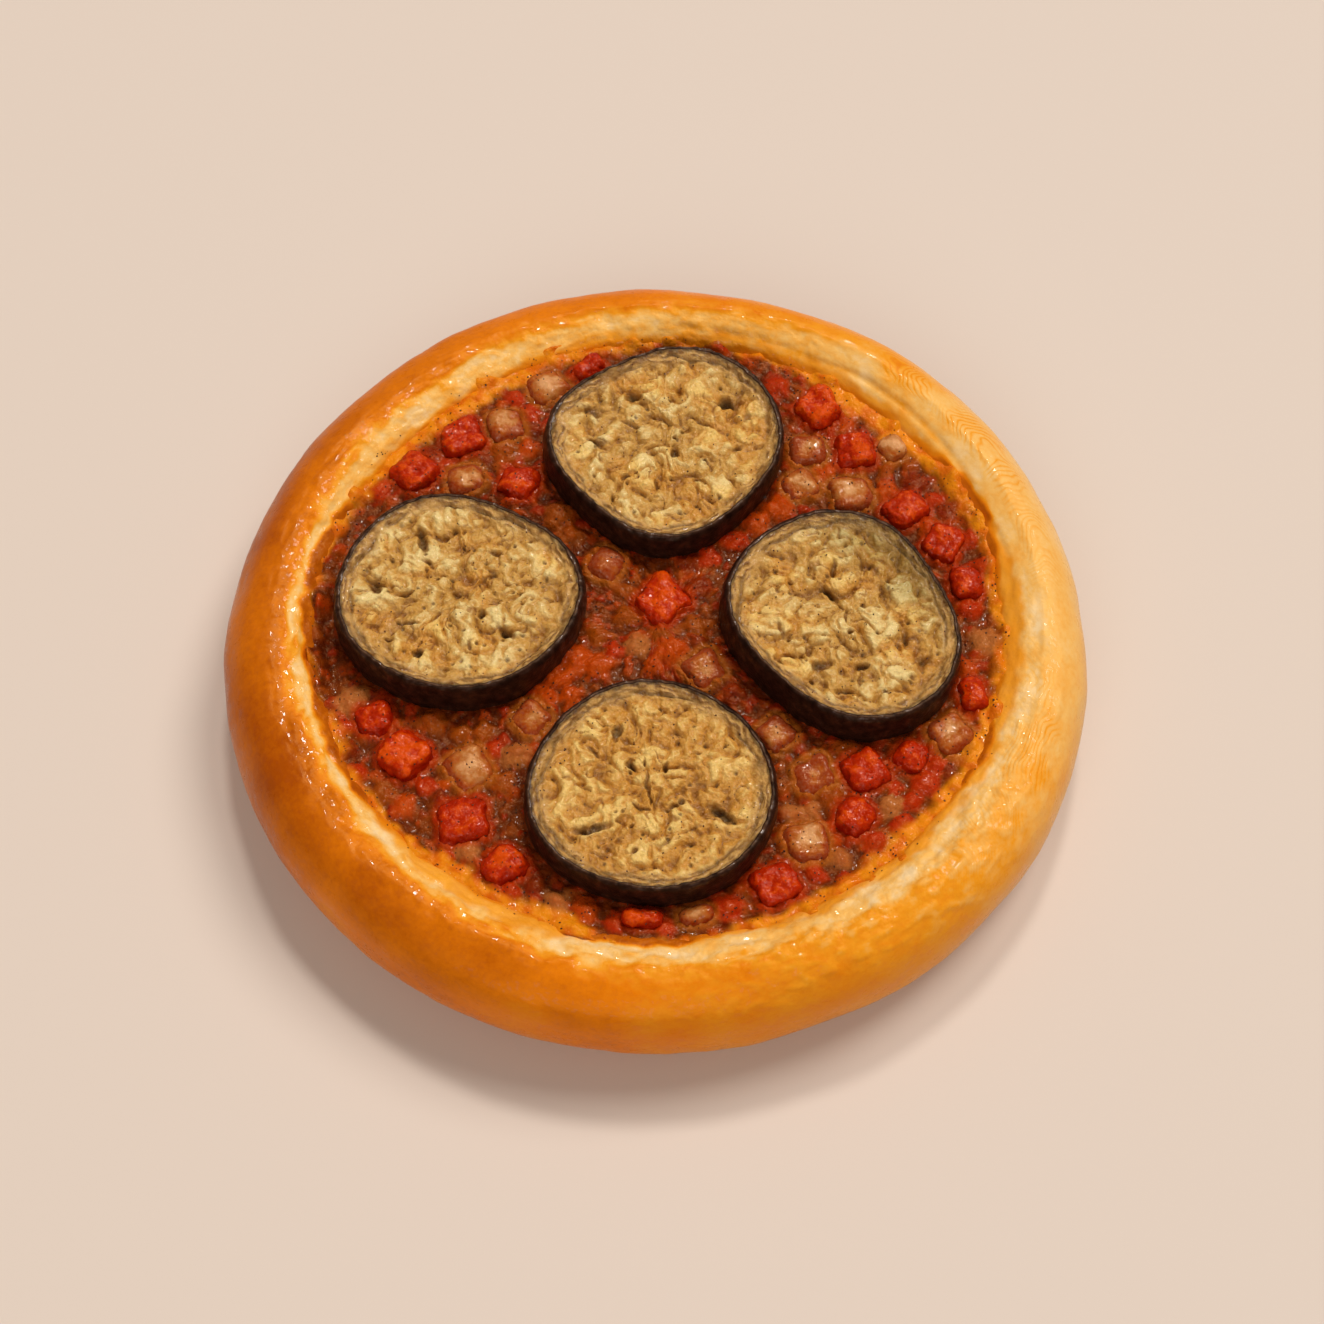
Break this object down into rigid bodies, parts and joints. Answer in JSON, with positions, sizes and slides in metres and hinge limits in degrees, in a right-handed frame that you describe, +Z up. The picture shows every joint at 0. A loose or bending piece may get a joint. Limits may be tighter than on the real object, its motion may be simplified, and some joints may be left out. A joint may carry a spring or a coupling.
{
  "type": "sfiha",
  "caption": "Round open sfiha: a puffy glazed bread with a raised rim, filled with chunky tomato and onion sauce and topped with thick roasted eggplant slices.",
  "frame": {"origin": "under the middle of the bread, on the flat face it rests on", "axes": "+Z up out of the filling, +X to the right and +Y to the back, as seen in the picture"},
  "size_m": [0.1592, 0.1576, 0.0262],
  "materials": {
    "crust": "glossy egg-washed bread crust, golden brown outside and pale cream down the inner side",
    "sauce": "wet, lumpy orange-red tomato sauce with dark specks",
    "eggplant": "spongy roasted flesh, khaki to golden, with a glossy purple-black skin round it",
    "tomato": "wet, soft red dice",
    "onion": "wet, translucent pinkish white dice"
  },
  "bodies": {
    "root": {"bread": "crust", "filling": "sauce", "eggplant_back": "eggplant", "eggplant_left": "eggplant", "eggplant_right": "eggplant", "eggplant_front": "eggplant", "tomato_01": "tomato", "tomato_02": "tomato", "tomato_03": "tomato", "tomato_04": "tomato", "tomato_05": "tomato", "tomato_06": "tomato", "tomato_07": "tomato", "tomato_08": "tomato", "tomato_09": "tomato", "tomato_10": "tomato", "tomato_11": "tomato", "tomato_12": "tomato", "tomato_13": "tomato", "tomato_14": "tomato", "tomato_15": "tomato", "tomato_16": "tomato", "tomato_17": "tomato", "tomato_18": "tomato", "tomato_19": "tomato", "tomato_20": "tomato", "onion_01": "onion", "onion_02": "onion", "onion_03": "onion", "onion_04": "onion", "onion_05": "onion", "onion_06": "onion", "onion_07": "onion", "onion_08": "onion", "onion_09": "onion", "onion_10": "onion", "onion_11": "onion", "onion_12": "onion", "onion_13": "onion", "onion_14": "onion", "onion_15": "onion", "onion_16": "onion"}
  },
  "joints": []
}
